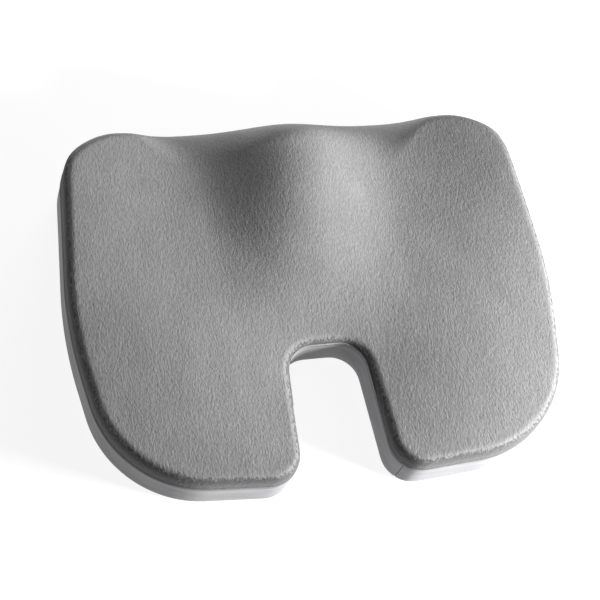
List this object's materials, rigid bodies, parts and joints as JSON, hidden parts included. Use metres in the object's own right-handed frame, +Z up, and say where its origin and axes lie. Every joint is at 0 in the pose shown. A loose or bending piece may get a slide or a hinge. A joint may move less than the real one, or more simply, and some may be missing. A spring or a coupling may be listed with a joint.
{
  "type": "seat cushion",
  "caption": "U-shaped memory-foam seat cushion with a tailbone notch, thigh grooves and a zipped plush cover that slides open along its front wall.",
  "frame": {"origin": "middle of the underside, halfway between the front edge and the tips of the rear legs", "axes": "+X to the sitter's right, +Y to the front edge under the thighs, +Z up; the tailbone notch opens towards -Y"},
  "size_m": [0.4524, 0.3594, 0.0724],
  "materials": {
    "memory_foam": "open-cell viscoelastic foam",
    "plush": "short grey plush pile",
    "side_velour": "smooth knitted velour",
    "anti_slip_base": "knitted fabric with rubber dots",
    "zip_tape": "woven polyester tape",
    "zip_coil": "extruded nylon monofilament",
    "zip_metal": "die-cast zinc alloy, gunmetal plated",
    "label_satin": "woven polyester satin, blank"
  },
  "bodies": {
    "cushion": {"foam_core": "memory_foam", "top_panel": "plush", "side_band_left": "side_velour", "side_band_right": "side_velour", "notch_band": "side_velour", "front_strip_upper": "side_velour", "front_strip_lower": "side_velour", "base_panel": "anti_slip_base", "zip_tape_upper": "zip_tape", "zip_tape_lower": "zip_tape", "zip_coil_upper": "zip_coil", "zip_coil_lower": "zip_coil", "zip_stop_left": "zip_metal", "zip_stop_right": "zip_metal", "care_label": "label_satin"},
    "slider": {"zip_slider": "zip_metal"},
    "pull": {"zip_pull_tab": "zip_metal"}
  },
  "joints": [
    {"name": "zip_slide", "type": "slide", "parent": "cushion", "child": "slider", "axis": [1, 0, 0], "range_m": [0, 0.2681]},
    {"name": "pull_hinge", "type": "hinge", "parent": "slider", "child": "pull", "pos_m": [-0.13407, 0.1811, 0.016], "axis": [0, 0, 1], "range_deg": [0, 180]}
  ]
}
